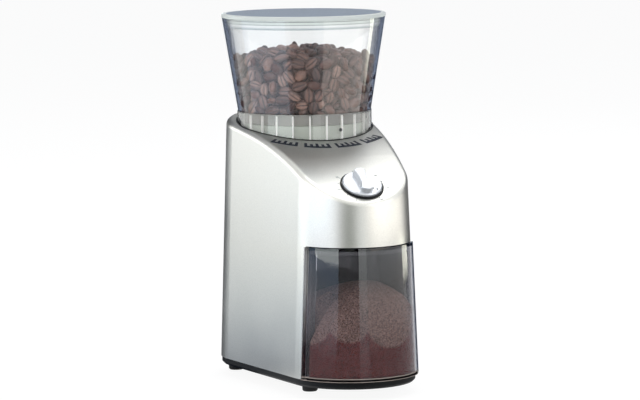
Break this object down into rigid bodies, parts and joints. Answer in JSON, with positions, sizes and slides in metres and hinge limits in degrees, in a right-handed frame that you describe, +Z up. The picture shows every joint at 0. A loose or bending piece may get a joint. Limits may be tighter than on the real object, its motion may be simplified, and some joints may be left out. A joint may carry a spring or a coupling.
{
  "type": "burr coffee grinder",
  "caption": "Electric burr coffee grinder: silver wedge housing, clear flared bean hopper with lid, timer dial on the slope and a clear pull-out grounds bin.",
  "frame": {"origin": "centre of the whole grinder's footprint on the ground, under the four feet", "axes": "+Z up; -Y is the front, where the bin and the dial are; +X is on the right-hand side for someone who stands before the grinder and looks at its front (along +Y)"},
  "size_m": [0.1216, 0.2026, 0.267],
  "materials": {
    "housing_silver": "satin silver lacquer on a die-cast shell",
    "black_plastic": "fine-grained black",
    "grey_plastic": "dark grey moulding",
    "clear_plastic": "clear, slightly smoky acrylic",
    "smoky_plastic": "smoky clear acrylic",
    "lid_plastic": "dark smoky acrylic",
    "floor_plastic": "smoky grey acrylic",
    "ring_plastic": "pale grey-green moulding",
    "rubber": "matt",
    "screw_steel": "zinc plated",
    "burr_steel": "ground hardened steel",
    "can_steel": "zinc-plated sheet",
    "lamination_steel": "varnished laminations",
    "gear_nylon": "natural nylon",
    "pinion_brass": "machined",
    "bush_bronze": "sintered bronze",
    "knob_silver": "silver lacquered"
  },
  "bodies": {
    "base": {"housing_shell": "housing_silver", "base_tray": "black_plastic", "rubber_feet": "rubber", "base_screws": "screw_steel", "cord_inlet": "rubber", "bay_liner": "black_plastic", "chassis": "black_plastic", "grinding_chamber": "black_plastic", "gearbox_screws": "screw_steel", "ground_chute": "black_plastic", "idler_pin": "burr_steel", "motor_can": "can_steel", "motor_stator": "lamination_steel", "motor_screws": "screw_steel", "spindle_bushes": "bush_bronze", "collar_seal": "black_plastic", "interlock_switch": "black_plastic", "timer_body": "grey_plastic", "timer_bezel": "black_plastic"},
    "rotor": {"motor_armature": "lamination_steel", "motor_pinion": "pinion_brass"},
    "idler": {"idler_gear": "gear_nylon"},
    "cutter": {"main_gear": "gear_nylon", "spindle": "burr_steel", "sweeper_disc": "grey_plastic", "lower_burr": "burr_steel", "burr_bolt": "screw_steel"},
    "grind_ring": {"adjuster_ring": "ring_plastic"},
    "burr_holder": {"burr_carrier": "grey_plastic", "ring_burr": "burr_steel", "burr_screws": "screw_steel"},
    "hopper": {"bean_hopper": "clear_plastic", "hopper_floor": "floor_plastic", "hopper_collar": "clear_plastic"},
    "lid": {"hopper_lid": "lid_plastic", "lid_rim": "clear_plastic"},
    "plunger": {"interlock_plunger": "grey_plastic"},
    "dial": {"timer_knob": "knob_silver", "timer_shaft": "burr_steel"},
    "bin": {"bin_tub": "smoky_plastic", "bin_lid": "smoky_plastic"}
  },
  "joints": [
    {"name": "motor_spin", "type": "hinge", "parent": "base", "child": "rotor", "pos_m": [0, 0.02778, 0.09], "axis": [0, 0, 1], "continuous": true},
    {"name": "idler_spin", "type": "hinge", "parent": "base", "child": "idler", "pos_m": [0.022, 0.0159, 0.11], "axis": [0, 0, 1], "continuous": true},
    {"name": "cutter_spin", "type": "hinge", "parent": "base", "child": "cutter", "pos_m": [0, 0.0405, 0.13], "axis": [0, 0, 1], "continuous": true},
    {"name": "grind_setting", "type": "hinge", "parent": "base", "child": "grind_ring", "pos_m": [0, 0.0405, 0.17], "axis": [0, 0, 1], "range_deg": [-54.5, 30.5]},
    {"name": "burr_feed", "type": "slide", "parent": "grind_ring", "child": "burr_holder", "axis": [0, 0, 1], "range_m": [-0.00062, 0.00035]},
    {"name": "hopper_lift", "type": "slide", "parent": "grind_ring", "child": "hopper", "axis": [0, 0, 1], "range_m": [0, 0.08]},
    {"name": "lid_lift", "type": "slide", "parent": "hopper", "child": "lid", "axis": [0, 0, 1], "range_m": [0, 0.05]},
    {"name": "plunger_press", "type": "slide", "parent": "base", "child": "plunger", "axis": [0, 0, -1], "range_m": [0, 0.0015], "stiffness_N_per_m": 150},
    {"name": "timer_turn", "type": "hinge", "parent": "base", "child": "dial", "pos_m": [0, -0.078, 0.1502], "axis": [0, 0.4909, -0.8712], "range_deg": [0, 300], "stiffness_Nm_per_rad": 0.002},
    {"name": "bin_slide", "type": "slide", "parent": "base", "child": "bin", "axis": [0, -1, 0], "range_m": [0, 0.095]}
  ],
  "couplings": [
    {"joint": "idler_spin", "follows": "motor_spin", "ratio": -0.25},
    {"joint": "cutter_spin", "follows": "motor_spin", "ratio": 0.055556},
    {"joint": "burr_feed", "follows": "grind_setting", "m_per_rad": 0.00063662}
  ]
}
